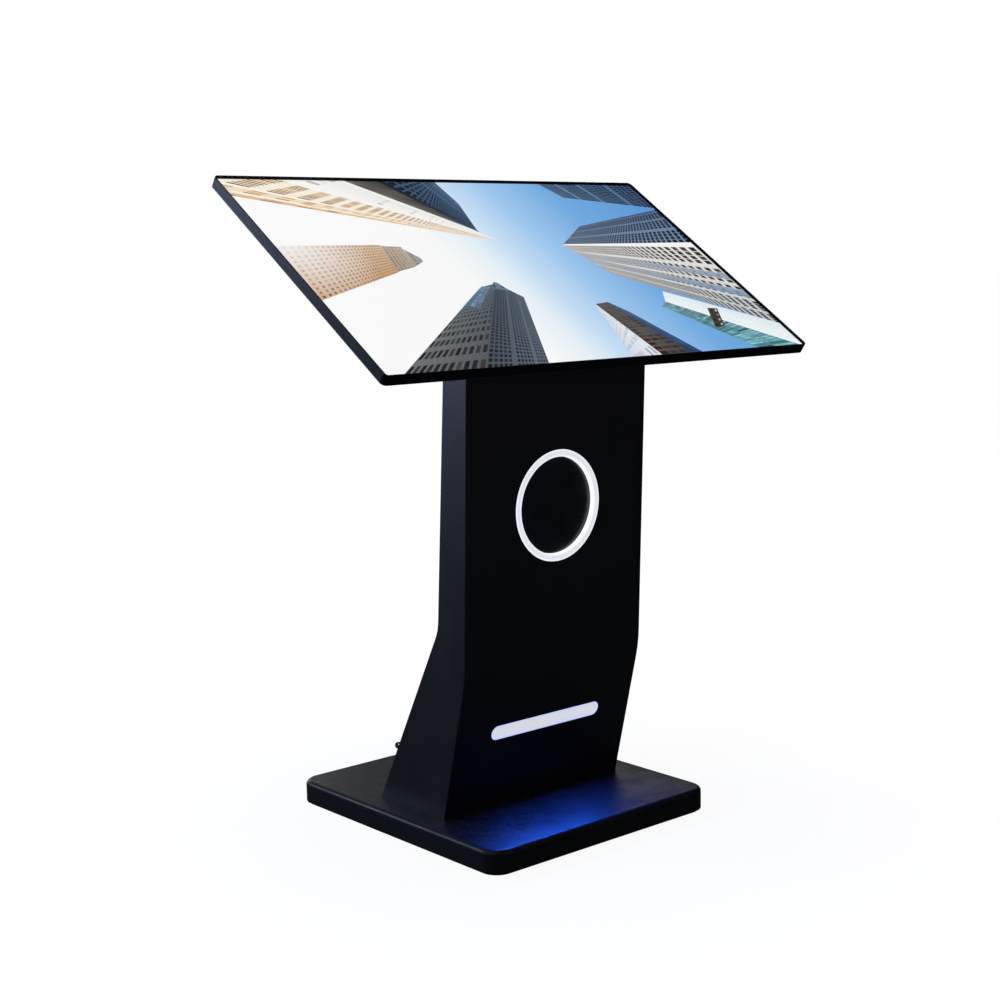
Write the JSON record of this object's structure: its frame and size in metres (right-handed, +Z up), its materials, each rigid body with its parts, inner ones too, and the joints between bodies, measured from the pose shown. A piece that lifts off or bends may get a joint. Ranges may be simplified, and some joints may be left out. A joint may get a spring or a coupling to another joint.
{
  "type": "touchscreen kiosk",
  "caption": "Floor-standing touchscreen kiosk with a wide tilted display on a bent column with a lit ring and bar, a locked rear service door and a weighted flat base.",
  "frame": {"origin": "middle of the base on the floor, on the underside of the rubber base pad", "axes": "+Z up; -Y towards the person who uses the screen, +X to that person's right"},
  "size_m": [0.952, 0.5918, 1.1303],
  "materials": {
    "powder_black": "fine matt powder coat",
    "frame_black": "satin black",
    "rubber_black": "moulded, matt",
    "zinc_steel": "zinc plated",
    "zinc_fastener": "bright zinc",
    "raw_steel": "mill finish",
    "black_fastener": "black oxide",
    "black_plastic": "fine texture",
    "rocker_plastic": "gloss",
    "fan_plastic": "matt",
    "white_plastic": "matt white reflector",
    "brass_contact": "plated",
    "opal_ring": "opal diffuser, lit white",
    "opal_bar": "opal diffuser, lit cool white",
    "disc_acrylic": "tinted gloss acrylic",
    "circuit_white": "white solder mask",
    "circuit_green": "green solder mask",
    "hinge_steel": "black plated",
    "lock_nickel": "nickel plated",
    "key_steel": "stamped steel",
    "anodised_black": "black anodised",
    "raw_aluminium": "satin",
    "cable_black": "braided sleeve",
    "cover_glass": "toughened, fine anti-glare",
    "touch_film": "clear film",
    "border_black": "black foam",
    "screen_picture": null,
    "button_steel": "turned"
  },
  "bodies": {
    "kiosk": {"base_pad": "rubber_black", "base_bottom_plate": "zinc_steel", "base_shell": "powder_black", "base_ballast": "raw_steel", "base_beam_left": "zinc_steel", "base_beam_right": "zinc_steel", "base_screws": "zinc_fastener", "mains_inlet": "black_plastic", "inlet_pins": "brass_contact", "switch_frame": "black_plastic", "column_foot_plate": "zinc_steel", "column_bolts": "zinc_fastener", "beam_nuts": "zinc_fastener", "column_side_left": "powder_black", "column_side_right": "powder_black", "column_front_panel": "powder_black", "column_rear_panel": "powder_black", "column_rear_rail": "powder_black", "column_top_plate": "zinc_steel", "cable_grommet": "rubber_black", "head_bolts": "zinc_fastener", "rail_nuts": "zinc_fastener", "ring_diffuser": "opal_ring", "ring_disc": "disc_acrylic", "ring_housing": "white_plastic", "ring_led_board": "circuit_white", "bar_diffuser": "opal_bar", "bar_housing": "white_plastic", "bar_led_board": "circuit_white", "hinge_frame_leaves": "hinge_steel", "hinge_pins": "hinge_steel", "equipment_plate": "zinc_steel", "media_player": "anodised_black", "light_driver": "raw_aluminium", "display_harness": "cable_black", "head_frame": "frame_black", "cover_glass": "cover_glass", "touch_film": "touch_film", "border_gasket": "border_black", "lcd_cell": "screen_picture", "backlight_unit": "raw_aluminium", "head_rear_shell": "powder_black", "head_access_cover": "powder_black", "head_screws": "black_fastener", "fan_frame": "fan_plastic", "display_rails": "zinc_steel", "display_power_board": "circuit_green", "display_main_board": "circuit_green", "speakers": "black_plastic", "power_button_body": "black_plastic"},
    "door": {"service_door": "powder_black", "hinge_door_leaves": "hinge_steel", "lock_body": "lock_nickel", "lock_nut": "zinc_fastener"},
    "lock": {"lock_plug": "lock_nickel", "lock_cam": "zinc_steel", "lock_key": "key_steel"},
    "rocker": {"switch_rocker": "rocker_plastic"},
    "button": {"power_button": "button_steel"},
    "fan": {"fan_impeller": "fan_plastic"}
  },
  "joints": [
    {"name": "door_hinge", "type": "hinge", "parent": "kiosk", "child": "door", "pos_m": [0.1956, 0.0132, 0.1998], "axis": [0, 0.4623, -0.8867], "range_deg": [0, 110]},
    {"name": "lock_turn", "type": "hinge", "parent": "door", "child": "lock", "pos_m": [-0.178, 0.04847, 0.12458], "axis": [0, -0.8867, -0.4623], "range_deg": [0, 90]},
    {"name": "mains_switch", "type": "hinge", "parent": "kiosk", "child": "rocker", "pos_m": [-0.08, 0.275, 0.023], "axis": [0, 0, 1], "range_deg": [0, 16]},
    {"name": "power_button_press", "type": "slide", "parent": "kiosk", "child": "button", "axis": [0, 0.8271, 0.5621], "range_m": [0, 0.0015], "stiffness_N_per_m": 600},
    {"name": "fan_spin", "type": "hinge", "parent": "kiosk", "child": "fan", "pos_m": [0, 0.02302, 1.00056], "axis": [0, -0.5621, 0.8271], "continuous": true}
  ]
}
